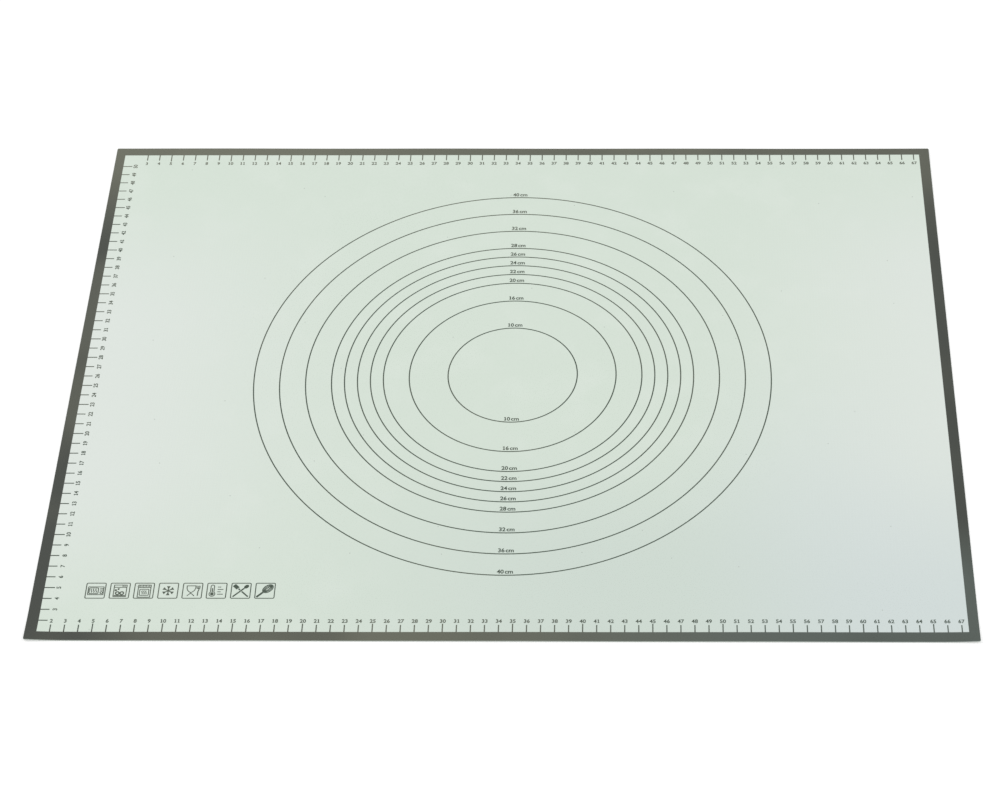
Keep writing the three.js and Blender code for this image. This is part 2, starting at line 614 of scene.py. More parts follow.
@dataclass(frozen=True, kw_only=True)
class SiliconeInk(Finish):
    """Screen-printed silicone ink: a dark olive-grey satin film. Its colour carries a painted sheen, a
    painted reflection that is uneven along the border.

    The film of a thin line is thinner, so the mint rubber tints it.
    """

    name: str = "screen_printed_silicone_ink"
    tint: str = "#393d37"
    line_tint: str = "#3e4c40"
    # Colours of the painted sheen, a painted reflection, which is cooler at the front right
    sheen_tint: str = "#696b5d"
    cool_sheen_tint: str = "#64706a"
    ior: float = 1.41
    roughness: tuple[float, float] = (0.5, 0.4)
    # How far inside the border the tint of thin lines starts, and how far on it is full
    line_start: float = 1 * MM
    line_rise: float = 3 * MM
    # Where the painted sheen rises: along Y at the back and at the front, and along X from the front left
    # corner
    back_range: Range = (0.12, 0.285)
    front_range: Range = (-0.23, -0.255)
    corner_range: Range = (-0.32, -0.24)
    front_share: float = 0.55
    # Where the front's painted sheen runs up the right side
    turn_range_x: Range = (0.3, 0.33)
    turn_range_y: Range = (-0.14, -0.18)
    # Soft patches of painted sheen that add to it, with the number that picks their pattern
    patch_size: float = 100 * MM
    patch_detail: float = 1.0
    patch_pattern: float = 105.0
    patch_range: Range = (0.41, 0.63)
    patch_share: float = 0.38
    # How much of the painted sheen is lost towards the right, and where it is cooler, at the front right
    right_range: Range = (-0.26, 0.34)
    right_loss: float = 0.52
    cool_range_x: Range = (-0.05, 0.25)
    cool_range_y: Range = (-0.05, -0.2)
    grain_size: float = 1.6 * MM
    relief_depth: float = 0.01 * MM

    def surface(self, shading: Shading) -> Surface:
        """Makes the ink's nodes.

        Args:
            shading: What adds the nodes.

        Returns:
            Their sockets.
        """
        x, y = shading.axes
        insides = []
        for axis, half in ((x, HALF_WIDTH), (y, HALF_DEPTH)):
            away = shading.add("Math", {0: axis}, operation="ABSOLUTE")
            start = half - BORDER - self.line_start
            insides.append((away, (start, start - self.line_rise)))
        line = shading.share_in(*insides)
        # The painted sheen pales the ink's colour, and the same share sets its roughness
        sheen = self.sheen(shading)
        cool = shading.share_in((x, self.cool_range_x), (y, self.cool_range_y))
        painted_sheen_colour = shading.lay_tints(self.sheen_tint, (cool, self.cool_sheen_tint))
        colour = shading.lay_tints(self.tint, (line, self.line_tint), (sheen, painted_sheen_colour))
        grain = shading.add("TexNoise", {"Vector": shading.place, "Scale": 1 / self.grain_size})
        return Surface(colour, between=sheen, height=grain)

    def sheen(self, shading: Shading) -> NodeSocket:
        """Share of painted sheen, a painted reflection that pales the film.

        Most at the back, less along the front, in soft patches at the sides.

        Args:
            shading: What adds the nodes.

        Returns:
            The socket that gives a share from 0 to 1.
        """
        x, y = shading.axes
        patches = {"Vector": shading.place, "Scale": 1 / self.patch_size}
        patches |= {"W": self.patch_pattern, "Detail": self.patch_detail}
        pattern = shading.add("TexNoise", patches, noise_dimensions="4D")
        patch = shading.share_in((pattern, self.patch_range))
        along = shading.share_in((x, self.corner_range), (y, self.front_range))
        turn = shading.share_in((x, self.turn_range_x), (y, self.turn_range_y))
        front = shading.add("Math", {0: along, 1: turn}, operation="MAXIMUM")
        total = shading.share_in((y, self.back_range))
        for share, weight in ((front, self.front_share), (patch, self.patch_share)):
            total = shading.add("Math", {0: share, 1: weight, 2: total}, operation="MULTIPLY_ADD")
        right = shading.share_in((x, self.right_range))
        kept = shading.add("Math", {0: right, 1: -self.right_loss, 2: 1.0}, operation="MULTIPLY_ADD")
        return shading.add("Math", {0: total, 1: kept}, operation="MULTIPLY", use_clamp=True)


# Sheet


@dataclass(frozen=True)
class Lay:
    """How the mat lies: flat on the table, with low waves along its edges and its front corners up."""

    edge_band: float = 50 * MM
    wave_length: float = 190 * MM
    wave_height: float = 0.2 * MM
    # Where in a wave the front, back, left and right edges have their middles
    wave_phases: tuple[float, ...] = (0.0, 2.0, 0.9, 4.1)
    corner_reach: float = 28 * MM
    left_corner_lift: float = 1.1 * MM
    right_corner_lift: float = 0.9 * MM

    def height(self, x: float, y: float) -> float:
        """How far the underside is above the table.

        Args:
            x: Place along the width.
            y: Place along the depth.

        Returns:
            The height, zero or more.
        """
        turn = 2 * math.pi / self.wave_length
        edges = ((HALF_DEPTH + y, x), (HALF_DEPTH - y, x), (HALF_WIDTH + x, y), (HALF_WIDTH - x, y))
        total = 0.0
        for (inside, along), phase in zip(edges, self.wave_phases):
            near = max(0.0, 1 - inside / self.edge_band)
            total += self.wave_height * near**2 * (1 + math.cos(turn * along + phase)) / 2
        for corner_x, lift in ((-HALF_WIDTH, self.left_corner_lift), (HALF_WIDTH, self.right_corner_lift)):
            away = math.hypot(x - corner_x, y + HALF_DEPTH)
            total += lift * max(0.0, 1 - away / self.corner_reach) ** 2
        return total

    def settle(self, bm: BMesh) -> None:
        """Moves a mesh that was made flat to where it lies."""
        for vert in bm.verts:
            vert.co.z += self.height(vert.co.x, vert.co.y)


@dataclass
class Laminate:
    """The sheet itself: rubber that grips the table, woven cloth, and rubber that is worked on."""

    lay: Lay
    cell: float = 8 * MM
    lower_edge_round: float = 0.12 * MM
    lower_edge_steps: int = 2
    cloth_box: tuple[Vector, Vector] = field(default_factory=lambda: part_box(CLOTH_CORE))
    # The finished layers from below, by their CAD nodes
    pieces: dict[str, Object] = field(default_factory=dict)

    def build(self, work_face: Material, cloth: Material, underside: Material) -> None:
        """Builds the three layers.

        Args:
            work_face: The material of the upper layer.
            cloth: The material of the cloth.
            underside: The material of the lower layer.
        """
        layers = (
            ("gripping_layer", self.lower_tray(), underside, Slot.PALE_SILICONE, LOWER_LAYER),
            ("cloth_core", self.slab(CLOTH_CORE), cloth, Slot.GLASS_CLOTH, CLOTH_CORE),
            ("work_layer", self.slab(UPPER_LAYER), work_face, Slot.PALE_SILICONE, UPPER_LAYER),
        )
        for name, bm, material, slot, node in layers:
            self.lay.settle(bm)
            self.pieces[node] = make_piece(name, bm, material, slot, node)

    def panel(self, node: str) -> BMesh:
        """A flat panel with a CAD layer's plan, at the height of its lower face.

        Args:
            node: The layer's CAD node.

        Returns:
            The flat mesh.
        """
        low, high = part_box(node)
        middle = (low + high) / 2
        middle.z = low.z
        bm = bmesh.new()
        add_panel(bm, middle, high.x - low.x, high.y - low.y, CORNER_RADIUS, self.cell)
        return bm

    def slab(self, node: str) -> BMesh:
        """A layer of even thickness.

        Args:
            node: The layer's CAD node.

        Returns:
            The layer's mesh.
        """
        low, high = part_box(node)
        bm = self.panel(node)
        thicken(bm, high.z - low.z)
        return bm

    def lower_tray(self) -> BMesh:
        """The lower layer: its rim stands up round the edge of the cloth.

        Returns:
            The layer's mesh.
        """
        low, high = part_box(LOWER_LAYER)
        cloth_bottom = self.cloth_box[0].z
        bm = self.panel(LOWER_LAYER)
        for corner in self.cloth_box:
            for normal in (Vector((1, 0, 0)), Vector((0, 1, 0))):
                cut(bm, corner, normal)
        thicken(bm, cloth_bottom - low.z)
        upper = [face for face in bm.faces if face.normal.z > FLAT]
        rim = [face for face in upper if not self.covers(face.calc_center_median())]
        rim_edges = {edge for face in rim for edge in face.edges}
        made = bmesh.ops.extrude_face_region(bm, geom=rim + list(rim_edges))
        bmesh.ops.translate(bm, vec=(0, 0, high.z - cloth_bottom), verts=new_verts(made))
        self.round_lower_edge(bm, low.z)
        return bm

    def covers(self, point: Vector) -> bool:
        """Whether the cloth lies over a point."""
        low, high = self.cloth_box
        return low.x < point.x < high.x and low.y < point.y < high.y

    def round_lower_edge(self, bm: BMesh, bottom: float) -> None:
        """Rounds the edge where the underside meets the cut side.

        Args:
            bm: The lower layer.
            bottom: The height of its underside.
        """
        reach = bottom + self.lower_edge_round
        lowest = [edge for edge in bm.edges if all(vert.co.z < reach for vert in edge.verts)]
        rim = [edge for edge in lowest if any(abs(face.normal.z) < FLAT for face in edge.link_faces)]
        rounding = {"offset": self.lower_edge_round, "segments": self.lower_edge_steps, "profile": ROUND}
        bmesh.ops.bevel(bm, geom=rim, affect="EDGES", material=-1, **rounding)


# Print


@dataclass
class Press:
    """Prints flat shapes on the work surface as thin films of ink.

    The screen sits a little askew to the cut edges, turned about the middle of the mat.
    """

    lay: Lay
    ink: Material
    film: float
    screen_turn: float = math.radians(0.1)
    pieces: list[Object] = field(default_factory=list)

    def print(
        self, name: str, bm: BMesh, *nodes: str, on_edge: Callable[[BMVert], bool] = lambda vert: False
    ) -> None:
        """Prints flat faces that were drawn at a height of zero.

        Args:
            name: The piece's name.
            bm: The flat faces. They are used up.
            nodes: The CAD nodes that the piece stands for.
            on_edge: Tells the vertices that were cut with the mat's edge, which the screen doesn't turn.
        """
        turned = [vert for vert in bm.verts if not on_edge(vert)]
        turn = Matrix.Rotation(self.screen_turn, 3, "Z")
        bmesh.ops.rotate(bm, cent=(0, 0, 0), matrix=turn, verts=turned)
        thicken(bm, self.film)
        bmesh.ops.translate(bm, vec=(0, 0, SURFACE), verts=bm.verts)
        self.lay.settle(bm)
        self.pieces.append(make_piece(name, bm, self.ink, Slot.DARK_INK, *nodes))


@dataclass
class Pen:
    """Draws flat shapes in millimetres about a middle point."""

    bm: BMesh
    middle: Vector
    width: float = 0.64
    unit: float = MM

    def at(self, x: float, y: float) -> Vector:
        """The place of a drawn point in the mesh."""
        return self.middle + Vector((x, y, 0)) * self.unit

    def stroke(self, points: Sequence[Point], width: float = 0, closed: bool = False) -> None:
        """Draws a line of even width with mitred bends.

        Args:
            points: The points that it runs through.
            width: Its width, or 0 for the pen's own.
            closed: Whether it runs back to its first point.
        """
        path = [Vector((x, y, 0)) for x, y in points]
        rail = [self.bm.verts.new(self.at(point.x, point.y)) for point in path]
        ends = rail[1:] + rail[:1] if closed else rail[1:]
        edges = [self.bm.edges.new(pair) for pair in zip(rail, ends)]
        other_rail = set(new_verts(bmesh.ops.extrude_edge_only(self.bm, edges=edges)))
        for index, vert in enumerate(rail):
            neighbours = (edge.other_vert(vert) for edge in vert.link_edges)
            twin = next(other for other in neighbours if other in other_rail)
            aside = self.mitre(path, index, closed) * (width or self.width) / 2 * self.unit
            vert.co += aside
            twin.co -= aside

    @staticmethod
    def mitre(path: Sequence[Vector], index: int, closed: bool) -> Vector:
        """Sideways step at a bend that keeps a line's width.

        Args:
            path: The points of the line.
            index: Which of them is asked for.
            closed: Whether the line runs back to its first point.

        Returns:
            The step for a line whose half width is 1.
        """
        last = len(path) - 1
        before = path[index] - path[index - 1] if index or closed else path[1] - path[0]
        after = path[(index + 1) % len(path)] - path[index] if index < last or closed else before
        first = Vector((-before.y, before.x, 0)).normalized()
        second = Vector((-after.y, after.x, 0)).normalized()
        return (first + second) / (1 + first.dot(second))

    def disc(
        self, x: float, y: float, radius: float, stretch: float = 1, tilt: float = 0, sides: int = 20
    ) -> None:
        """Draws a filled disc, or an ellipse that is stretched along a tilted line.

        Args:
            x: Its middle.
            y: Its middle.
            radius: Its radius across the line.
            stretch: How many times as long it is along the line.
            tilt: The line's angle from X.
            sides: How many sides it is drawn with.
        """
        place = Matrix.Translation(self.at(x, y)) @ Matrix.Rotation(tilt, 4, "Z")
        place @= Matrix.Diagonal((stretch, 1, 1, 1))
        size = {"segments": sides, "radius": radius * self.unit}
        bmesh.ops.create_circle(self.bm, cap_ends=True, matrix=place, **size)

    def box(self, x: float, y: float, width: float, depth: float, radius: float) -> None:
        """Draws the outline of a rounded box about its middle, with its size outside the line."""
        sizes = (size * self.unit for size in (width, depth, radius, self.width))
        add_outline(self.bm, self.at(x, y), *sizes)

    def block(self, x: float, y: float, width: float, depth: float, radius: float = 0.15) -> None:
        """Draws a filled rounded box about its middle."""
        add_panel(self.bm, self.at(x, y), *(size * self.unit for size in (width, depth, radius)))


def arc(x: float, y: float, radius: float, start: float, end: float, steps: int = 8) -> list[Point]:
    """Points along an arc.

    Args:
        x: Its middle.
        y: Its middle.
        radius: Its radius.
        start: The angle where it starts, in degrees from X.
        end: The angle where it ends.
        steps: How many steps it takes.

    Returns:
        The points from its start to its end.
    """
    angles = (math.radians(start + (end - start) * step / steps) for step in range(steps + 1))
    return [(x + radius * math.cos(angle), y + radius * math.sin(angle)) for angle in angles]


def ring(x: float, y: float, radius: float, sides: int) -> list[Point]:
    """Points all round a circle, which is drawn with a number of sides."""
    return arc(x, y, radius, 0, 360 - 360 / sides, sides - 1)


def ripple(x: float, bottom: float, top: float, swing: float, steps: int = 10) -> list[Point]:
    """Points of an upright line of one full wave.

    Args:
        x: Where it stands.
        bottom: Where it starts.
        top: Where it ends.
        swing: How far it swings to each side.
        steps: How many steps it takes.

    Returns:
        The points from its bottom to its top.
    """
    turns = (2 * math.pi * step / steps for step in range(steps + 1))
    rise = (top - bottom) / (2 * math.pi)
    return [(x + swing * math.sin(turn), bottom + rise * turn) for turn in turns]


@dataclass
class TypeFace:
    """Flat plain figures and letters of one weight.

    A figure is 1 high, stands on y = 0 and is centred on x = 0. The figure 1 has a flag and a foot.
    """

    # How much bolder than regular the outlines are, as a share of a figure's height
    weight: float = 0.037
    # Height of a regular figure at a type size of 1, and the width of its stem as a share of that height
    regular_height: float = 0.691
    regular_stem: float = 0.142
    curve_steps: int = 3
    # The figure 1, as shares of its height
    one_middle: float = 0.02
    one_foot_width: float = 0.45
    one_flag_depth: float = 0.18
    one_flag_step: tuple[float, float, float] = (-0.15, -0.1, 0)

    def __post_init__(self) -> None:
        """Sets the type."""
        self.curve = bpy.data.curves.new("type", "FONT")
        self.curve.size = 1 / self.regular_height
        self.curve.offset = self.weight
        self.curve.resolution_u = self.curve_steps
        self.curve.align_x = "CENTER"
        self.setter = bpy.data.objects.new("type", self.curve)
        self.glyphs: dict[str, Mesh] = {"1": self.figure_one()}

    def figure_one(self) -> Mesh:
        """The figure 1, drawn foot first.

        Returns:
            Its flat mesh.
        """
        bm = bmesh.new()
        stem = self.regular_stem + 2 * self.weight
        aside = (-self.one_foot_width / 2, -stem / 2, stem / 2, self.one_foot_width / 2)
        foot = [(self.one_middle + x, stem / 2) for x in aside]
        Pen(bm, Vector(), unit=1).stroke(foot, width=stem)
        tops = [edge for edge in bm.edges if all(vert.co.y > stem / 2 for vert in edge.verts)]
        edge = min(tops, key=lambda top: abs(top.verts[0].co.x + top.verts[1].co.x - 2 * self.one_middle))
        for rise in (1 - stem - self.one_flag_depth, self.one_flag_depth):
            edge = pull_edge(bm, edge, Vector((0, rise, 0)))
        upper_left = min(edge.verts, key=lambda vert: vert.co.x)
        shoulder = next(other for other in upper_left.link_edges if other is not edge)
        pull_edge(bm, shoulder, Vector(self.one_flag_step))
        return finish_mesh("figure_one", bm)

    def glyph(self, text: str) -> Mesh:
        """Flat mesh of a figure or a word.

        Args:
            text: What it says.

        Returns:
            The mesh, made once and kept.
        """
        if text not in self.glyphs:
            self.curve.body = text
            self.glyphs[text] = bpy.data.meshes.new_from_object(self.setter)
        return self.glyphs[text]

    def fit(self, text: str, width: float, height: float) -> Matrix:
        """Scale that gives a word a width and a height.

        Args:
            text: The word.
            width: How wide it gets.
            height: How high it gets.

        Returns:
            The scale.
        """
        across, upward, _ = zip(*(vert.co for vert in self.glyph(text).vertices))
        wide = width / (max(across) - min(across))
        high = height / (max(upward) - min(upward))
        return Matrix.Diagonal((wide, high, 1, 1))

    def write(self, bm: BMesh, text: str, place: Matrix) -> None:
        """Adds a figure or a word to a flat mesh.

        Args:
            bm: The mesh.
            text: What it says.
            place: Its size, turn and place.
        """
        before = len(bm.verts)
        bm.from_mesh(self.glyph(text))
        bm.verts.ensure_lookup_table()
        bmesh.ops.transform(bm, matrix=place, verts=bm.verts[before:])

    def write_number(self, bm: BMesh, number: int, height: float, pitch: float, place: Matrix) -> None:
        """Adds a number to a flat mesh.

        Args:
            bm: The mesh.
            number: The number.
            height: How high its figures are.
            pitch: The distance from figure to figure.
            place: Where the middle of its baseline lies, and how it is turned.
        """
        figures = str(number)
        for index, figure in enumerate(figures):
            aside = Matrix.Translation(((index - (len(figures) - 1) / 2) * pitch, 0, 0))
            self.write(bm, figure, place @ aside @ Matrix.Diagonal((height, height, 1, 1)))

    def discard(self) -> None:
        """Removes the type once everything is written."""
        bpy.data.objects.remove(self.setter)
        bpy.data.curves.remove(self.curve)
        for mesh in self.glyphs.values():
            bpy.data.meshes.remove(mesh)


@dataclass(frozen=True)
class Ruler:
    """A printed ruler: marks a centimetre apart, counted from a zero just outside the cut edge.

    Its numerals are centred on their marks.
    """

    side: Side
    # The numbers of the first and the last mark
    marks: tuple[int, int]
    first_numeral: int
    zero_outside: float
    # How far the numerals' baseline lies inside the cut edge
    baseline: float
    pitch: float = 10 * MM
    short_mark: float = 6.4 * MM
    long_mark: float = 7.5 * MM
    long_every: int = 5
    # Numbers of long marks that aren't among the regular ones
    extra_long: tuple[int, ...] = ()
    figure_height: float = 3.1 * MM
    figure_pitch: float = 2.25 * MM

    def point(self, number: int, inset: float) -> Vector:
        """A point beside one of the ruler's numbers.

        Args:
            number: The number.
            inset: How far the point lies inside the cut edge.

        Returns:
            The point, at a height of zero.
        """
        along = number * self.pitch - self.zero_outside
        if self.side is Side.LEFT:
            return Vector((inset - HALF_WIDTH, along - HALF_DEPTH, 0))
        towards_back = self.side.value[1]
        return Vector((along - HALF_WIDTH, towards_back * (inset - HALF_DEPTH), 0))

    def mark(self, number: int) -> Vector:
        """How far and which way a mark reaches from the border."""
        is_long = number % self.long_every == 0 or number in self.extra_long
        return Vector((*self.side.value, 0)) * (self.long_mark if is_long else self.short_mark)

    def numerals(self, type_face: TypeFace) -> BMesh:
        """All numerals of the ruler. Those of the left ruler read upwards.

        Args:
            type_face: The figures.

        Returns:
            The flat mesh.
        """
        bm = bmesh.new()
        turn = Matrix.Rotation(math.pi / 2 if self.side is Side.LEFT else 0, 4, "Z")
        for number in range(self.first_numeral, self.marks[1] + 1):
            place = Matrix.Translation(self.point(number, self.baseline)) @ turn
            type_face.write_number(bm, number, self.figure_height, self.figure_pitch, place)
        return bm


RULERS = (
    Ruler(Side.FRONT, marks=(2, 67), first_numeral=2, zero_outside=2.75 * MM, baseline=16.3 * MM),
    Ruler(Side.BACK, marks=(3, 67), first_numeral=3, zero_outside=2.75 * MM, baseline=19.7 * MM),
    Ruler(
        Side.LEFT, marks=(2, 50), first_numeral=3, zero_outside=1.75 * MM, baseline=19.8 * MM,
        extra_long=(23, 28),
    ),
)


@dataclass
class BorderPrint:
    """The dark border and the ruler marks that grow out of its inner edge, as one film."""

    mark_width: float = 0.85 * MM
    # What lies closer than this counts as being at the same place
    near: float = 0.01 * MM

    def is_outside(self, vert: BMVert) -> bool:
        """Whether a vertex lies on the mat's cut edge."""
        over = (abs(vert.co.x) - (HALF_WIDTH - BORDER), abs(vert.co.y) - (HALF_DEPTH - BORDER))
        return max(over) > self.near

    def band(self) -> BMesh:
        """The border without marks, from the cut edge to its inner rectangle.

        Returns:
            The flat mesh.
        """
        bm = bmesh.new()
        add_panel(bm, Vector(), 2 * HALF_WIDTH, 2 * HALF_DEPTH, CORNER_RADIUS)
        bmesh.ops.delete(bm, geom=bm.faces[:], context="FACES_ONLY")
        inner = new_verts(bmesh.ops.extrude_edge_only(bm, edges=bm.edges[:]))
        for vert in inner:
            for axis, reach in enumerate((HALF_WIDTH - BORDER, HALF_DEPTH - BORDER)):
                vert.co[axis] = max(-reach, min(reach, vert.co[axis]))
        bmesh.ops.remove_doubles(bm, verts=inner, dist=self.near)
        return bm

    def build(self) -> BMesh:
        """The whole film.

        Returns:
            The flat mesh.
        """
        bm = self.band()
        marks = [
            (ruler.point(number, BORDER), ruler.mark(number))
            for ruler in RULERS
            for number in range(ruler.marks[0], ruler.marks[1] + 1)
        ]
        for foot, inward in marks:
            along = Vector((abs(inward.y), abs(inward.x), 0)).normalized()
            for half in (-self.mark_width / 2, self.mark_width / 2):
                cut(bm, foot + along * half, along, self.near)
        inner_edges = [edge for edge in bm.edges if not any(self.is_outside(vert) for vert in edge.verts)]
        for foot, inward in marks:
            edge = min(inner_edges, key=lambda e: (e.verts[0].co + e.verts[1].co - 2 * foot).length)
            pull_edge(bm, edge, inward)
        return bm


@dataclass
class CirclePrint:
    """One rolling circle and its two labels, which give its diameter."""

    number: int
    segments: int = 240
    label_baseline: float = 1.67 * MM
    label_aside: float = 0.25 * MM
    figure_height: float = 3.5 * MM
    figure_pitch: float = 2.5 * MM
    unit: str = "cm"
    unit_size: float = 10 * MM
    unit_gap: float = 0.75 * MM
    unit_width: float = 6.0 * MM
    unit_height: float = 2.6 * MM

    @property
    def node(self) -> str:
        """The circle's CAD node."""
        return f"{CIRCLE_LINE}{self.number}"

    @property
    def radius(self) -> float:
        """Radius of the middle of the line."""
        low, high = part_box(self.node)
        return (high.x - low.x - CIRCLE_WIDTH) / 2

    def line(self) -> BMesh:
        """The circle's line.

        Returns:
            The flat mesh.
        """
        bm = bmesh.new()
        inner = self.radius - CIRCLE_WIDTH / 2
        bmesh.ops.create_circle(bm, cap_ends=False, segments=self.segments, radius=inner)
        outer = new_verts(bmesh.ops.extrude_edge_only(bm, edges=bm.edges[:]))
        growth = (self.radius + CIRCLE_WIDTH / 2) / inner
        bmesh.ops.scale(bm, vec=(growth, growth, 1), verts=outer)
        return bm

    def labels(self, type_face: TypeFace) -> BMesh:
        """The diameter in centimetres, just behind the line at the far side and at the near side.

        Args:
            type_face: The figures and letters.

        Returns:
            The flat mesh.
        """
        bm = bmesh.new()
        diameter = round(2 * self.radius / self.unit_size)
        figures_width = len(str(diameter)) * self.figure_pitch
        start = self.label_aside - (figures_width + self.unit_gap + self.unit_width) / 2
        unit_x = start + figures_width + self.unit_gap + self.unit_width / 2
        unit_scale = type_face.fit(self.unit, self.unit_width, self.unit_height)
        for line_y in (self.radius, -self.radius):
            baseline = line_y + self.label_baseline
            place = Matrix.Translation((start + figures_width / 2, baseline, 0))
            type_face.write_number(bm, diameter, self.figure_height, self.figure_pitch, place)
            type_face.write(bm, self.unit, Matrix.Translation((unit_x, baseline, 0)) @ unit_scale)
        return bm


@dataclass
class SymbolPrint:
    """One rounded frame of the symbol row, and the pictogram in it, drawn in mm about its middle."""

    symbol: Symbol
    frame_line: float = 0.7 * MM
    frame_radius: float = 1.2 * MM

    def __post_init__(self) -> None:
        """Sets the pen on the middle of the frame, on the plane where flat shapes are drawn."""
        self.low, self.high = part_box(self.node)
        middle = (self.low + self.high) / 2
        middle.z = 0
        self.pen = Pen(bmesh.new(), middle)

    @property
    def node(self) -> str:
        """The frame's CAD node."""
        return f"{SYMBOL_FRAME}{self.symbol.value}"

    def frame(self) -> BMesh:
        """The frame's line.

        Returns:
            The flat mesh.
        """
        bm = bmesh.new()
        size = self.high - self.low
        add_outline(bm, self.pen.middle, size.x, size.y, self.frame_radius, self.frame_line)
        return bm

    def pictogram(self) -> BMesh:
        """The pictogram.

        Returns:
            The flat mesh.
        """
        drawings = {
            Symbol.MICROWAVE: self.draw_microwave,
            Symbol.DISHWASHER: self.draw_dishwasher,
            Symbol.OVEN: self.draw_oven,
            Symbol.SNOWFLAKE: self.draw_snowflake,
            Symbol.GLASS_AND_FORK: self.draw_glass_and_fork,
            Symbol.THERMOMETER: self.draw_thermometer,
            Symbol.SPOON_AND_SPATULA: self.draw_spoon_and_spatula,
            Symbol.WHISK: self.draw_whisk,
        }
        drawings[self.symbol]()
        return self.pen.bm

    def draw_microwave(self) -> None:
        """A wide oven with waves behind its window, two buttons and a knob."""
        self.pen.box(0.2, -0.1, width=11.8, depth=7.8, radius=0.5)
        self.pen.box(-1.3, -0.1, width=7.2, depth=5.8, radius=1.0)
        for x in (-3.0, -1.3, 0.4):
            self.pen.stroke(ripple(x, bottom=-1.8, top=1.6, swing=0.4))
        for x in (3.7, 5.0):
            self.pen.block(x, 1.8, width=0.9, depth=1.1)
        self.pen.stroke([(3.2, 0.4), (5.5, 0.4)], width=0.5)
        self.pen.stroke(ring(4.35, -1.8, radius=0.95, sides=12), closed=True)

    def draw_dishwasher(self) -> None:
        """A tall machine with its control strip, two plates on a tray and two cups."""
        self.pen.box(0.2, -0.1, width=9.7, depth=11.2, radius=0.4)
        self.pen.stroke([(-4.3, 3.1), (4.7, 3.1)])
        for x in (1.9, 3.3):
            self.pen.block(x, 4.2, width=0.9, depth=0.9)
        for x in (-1.5, 1.7):
            self.pen.stroke(ring(x, -2.3, radius=1.3, sides=12), width=0.95, closed=True)
        self.pen.stroke([(-3.9, -4.5), (4.3, -4.5)], width=0.8)
        self.pen.block(-2.9, 0.4, width=1.6, depth=1.6, radius=0.3)
        self.pen.block(-1.0, 1.5, width=1.3, depth=1.6, radius=0.3)

    def draw_oven(self) -> None:
        """A tall oven with its knobs and heat behind its window."""
        self.pen.box(0.2, -0.4, width=9.7, depth=11.8, radius=0.4)
        self.pen.stroke([(-4.3, 3.0), (4.7, 3.0)])
        for x in (-3.0, -0.9, 1.2, 3.3):
            self.pen.stroke(ring(x, 4.2, radius=0.6, sides=8), width=0.35, closed=True)
        self.pen.box(0.2, -1.5, width=7.2, depth=6.2, radius=0.9)
        for x in (-1.2, 0.2, 1.6):
            self.pen.stroke(ripple(x, bottom=-3.3, top=0.2, swing=0.25))

    def draw_snowflake(self) -> None:
        """Six arms that grow out of a hexagon, and flare at their tips."""
        arms = 6
        hub_radius = 0.75
        # Lengths of an arm's two stretches, and how many times as wide each gets
        stretches = ((1.5, 1.0), (2.0, 3.6))
        bm, middle, unit = self.pen.bm, self.pen.middle, self.pen.unit
        self.pen.disc(0, 0, hub_radius, tilt=math.pi / arms, sides=arms)
        for edge in bm.edges[:]:
            outward = (edge.verts[0].co + edge.verts[1].co) / 2 - middle
            outward.normalize()
            for length, flare in stretches:
                edge = pull_edge(bm, edge, outward * length * unit)
                first, second = edge.verts
                spread = (second.co - first.co) * (flare - 1) / 2
                first.co -= spread
                second.co += spread

    def draw_glass_and_fork(self) -> None:
        """A stemmed glass beside a fork."""
        left, right = -4.2, 2.2
        middle = (left + right) / 2
        bowl = [(left, 4.5), (left + 0.1, 2.2), (left + 0.7, 0.4), (left + 1.8, -0.9), (middle, -1.7)]
        foot = [(middle - 2.6, -4.8), (middle - 1.2, -3.3), (middle, -2.3)]
        for half, closed in ((bowl, True), (foot, False)):
            mirrored = [(left + right - x, y) for x, y in reversed(half[:-1])]
            self.pen.stroke(half + mirrored, closed=closed)
        for x in (3.0, 3.75, 4.5, 5.25):
            self.pen.stroke([(x, 2.55), (x, 4.6)], width=0.45)
        self.pen.stroke([(2.8, 2.2), (5.45, 2.2)])
        self.pen.stroke([(4.4, 1.85), (4.6, 0.9), (4.1, -0.4), (3.9, -4.7)], width=0.75)

    def draw_thermometer(self) -> None:
        """A bulb thermometer with its column and a plain scale of short and long marks."""
        x, top, bottom = -3.1, 4.0, -3.0
        tube_radius, bulb_radius = 1.25, 2.1
        neck = math.degrees(math.asin(tube_radius / bulb_radius))
        bulb = arc(x, bottom, bulb_radius, 90 + neck, 450 - neck, steps=16)
        self.pen.stroke(bulb + arc(x, top, tube_radius, 0, 180), closed=True)
        self.pen.disc(x, bottom, radius=1.3)
        self.pen.stroke([(x, bottom + 1.4), (x, 2.4)], width=0.8)
        for y, end in ((3.4, 3.0), (1.2, 4.8), (-1.0, 3.0), (-3.2, 4.8)):
            self.pen.stroke([(0.6, y), (end, y)])

    def draw_spoon_and_spatula(self) -> None:
        """A spoon and a spatula with crossed handles."""
        handle = 1.1
        self.pen.stroke([(-5.5, -5.5), (2.3, 2.3)], width=handle)
        self.pen.disc(3.8, 3.8, radius=1.45, stretch=1.4, tilt=math.pi / 4)
        self.pen.stroke([(5.5, -5.5), (0.7, -0.7)], width=handle)
        self.pen.stroke([(-0.7, 0.7), (-1.9, 1.9)], width=handle)
        self.pen.stroke([(-2.2, 2.2), (-5.2, 5.2)], width=2.9)

    def draw_whisk(self) -> None:
        """A whisk: a handle and three nested wire loops, along a line that rises at 45 degrees."""
        lean = math.sqrt(0.5)
        middle = 1.9
        self.pen.stroke([(-5.8, -5.8), (-1.5, -1.5)], width=1.5)
        for long, wide in ((4.4, 2.8), (3.6, 1.75), (2.8, 0.7)):
            loop = [(long * u * lean, wide * v * lean) for u, v in ring(0, 0, radius=1, sides=28)]
            self.pen.stroke([(middle + u - v, middle + u + v) for u, v in loop], width=0.75, closed=True)


# Studio


